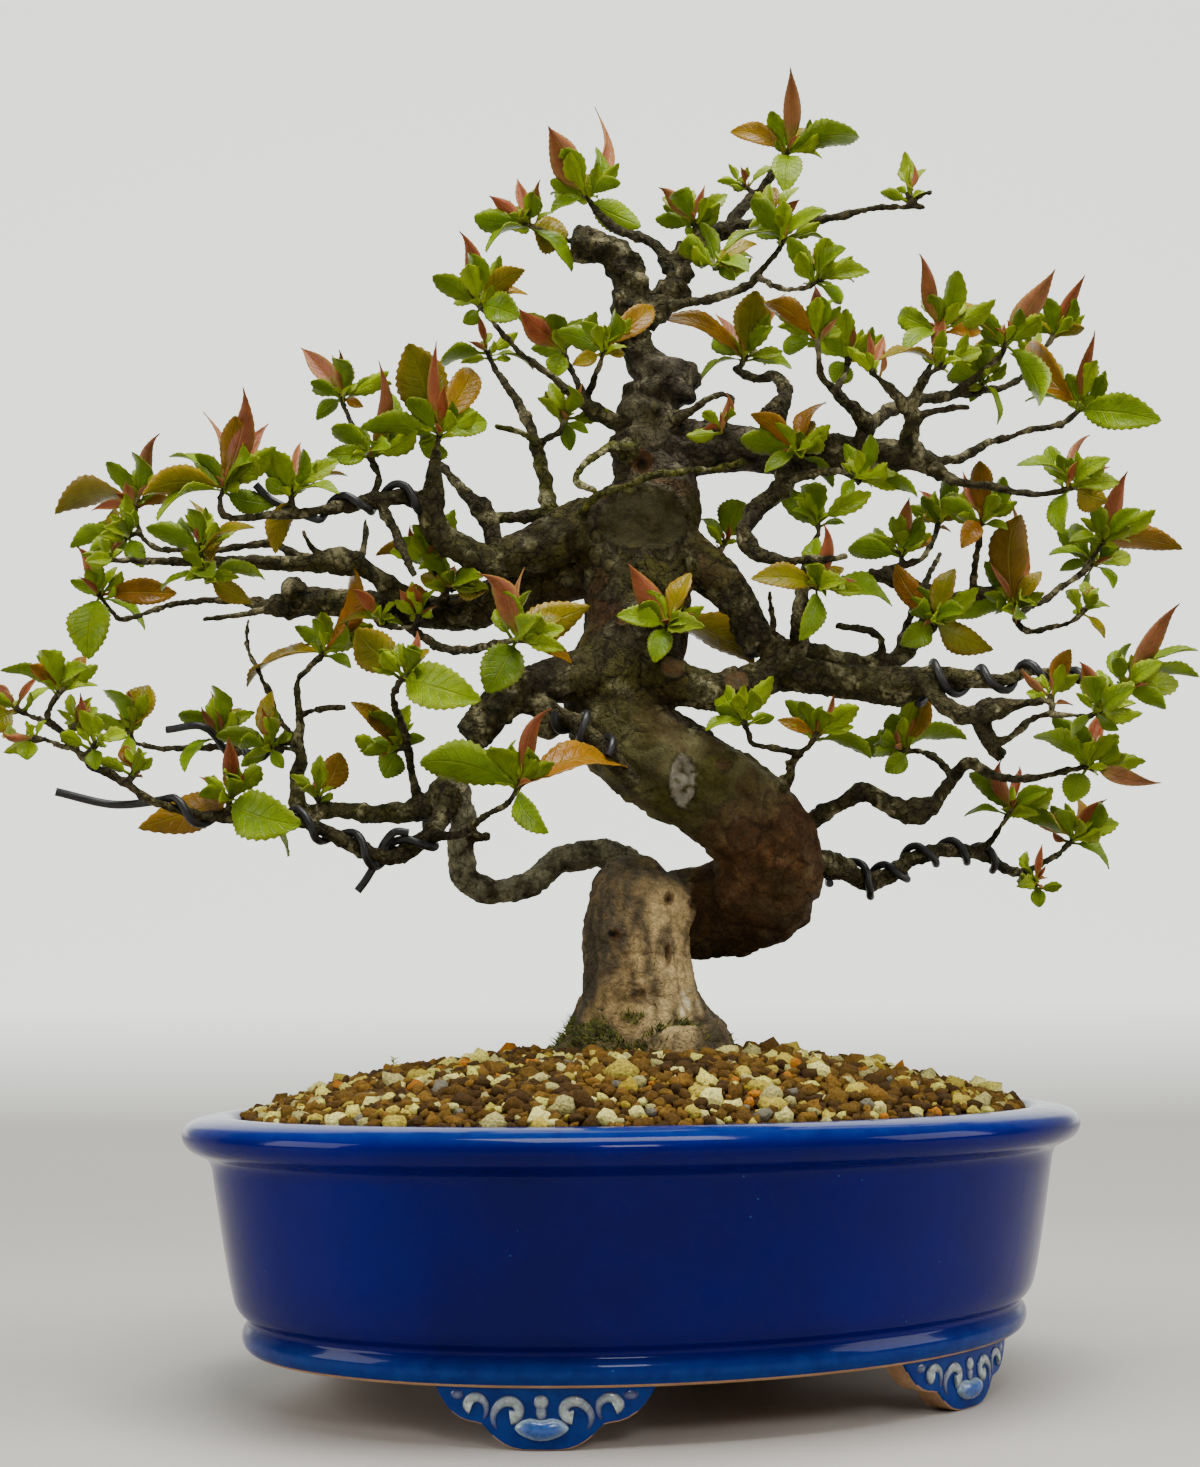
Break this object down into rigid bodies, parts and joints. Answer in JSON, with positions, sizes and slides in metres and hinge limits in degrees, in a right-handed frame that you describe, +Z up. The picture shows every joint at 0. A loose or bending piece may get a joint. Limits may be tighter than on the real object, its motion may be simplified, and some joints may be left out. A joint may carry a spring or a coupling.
{
  "type": "chinese quince bonsai",
  "caption": "Bonsai tree with a thick trunk, wired limbs and rosettes of unfolding leaves, in an oval glazed pot with cloud feet, filled with coarse soil.",
  "frame": {"origin": "centre of the bounding box, on the plane the feet stand on", "axes": "+Z up, +X to the right along the front of the tree, +Y away from the front"},
  "size_m": [0.4484, 0.2812, 0.4966],
  "materials": {
    "glazed_pot": "glossy deep cobalt stoneware glaze",
    "potting_soil": "matt hard granules, brown, cream and orange",
    "bark": "rough flaking bark",
    "training_wire": "black anodised, satin",
    "leaf": "soft satin young leaves, green to bronze and red"
  },
  "bodies": {
    "root": {"pot": "glazed_pot", "soil": "potting_soil", "wood": "bark", "wire_mid": "training_wire", "wire_inner": "training_wire", "wire_low": "training_wire", "wire_front": "training_wire", "wire_east": "training_wire", "wire_east_low": "training_wire", "shoot_crown": "leaf", "shoot_crown_left": "leaf", "shoot_crown_fork": "leaf", "shoot_crown_low": "leaf", "shoot_top": "leaf", "shoot_top_side": "leaf", "shoot_left_high": "leaf", "shoot_left_pair": "leaf", "shoot_left_tip": "leaf", "shoot_left_mid": "leaf", "shoot_left_fork": "leaf", "shoot_west_high": "leaf", "shoot_wired": "leaf", "shoot_west_mid": "leaf", "shoot_west_low": "leaf", "shoot_far_left": "leaf", "shoot_low_west": "leaf", "shoot_low_front": "leaf", "shoot_low_inner": "leaf", "shoot_low_mid": "leaf", "shoot_mid_a": "leaf", "shoot_mid_b": "leaf", "shoot_mid_c": "leaf", "shoot_mid_d": "leaf", "shoot_mid_front": "leaf", "shoot_trunk_front": "leaf", "shoot_low_front_b": "leaf", "shoot_low_stem": "leaf", "shoot_east_high": "leaf", "shoot_east_top": "leaf", "shoot_east_fork": "leaf", "shoot_east_inner": "leaf", "shoot_centre": "leaf", "shoot_centre_low": "leaf", "shoot_east_front": "leaf", "shoot_east_end": "leaf", "shoot_east_drop": "leaf", "shoot_east_mid": "leaf", "shoot_east_mid_b": "leaf", "shoot_east_back": "leaf", "shoot_east_up": "leaf", "shoot_under": "leaf", "shoot_behind": "leaf", "shoot_east_tips": "leaf", "shoot_east_low": "leaf", "shoot_east_tip": "leaf", "shoot_front_low": "leaf", "shoot_low_east": "leaf", "shoot_low_east_b": "leaf", "shoot_low_east_c": "leaf", "shoot_low_east_d": "leaf"}
  },
  "joints": []
}
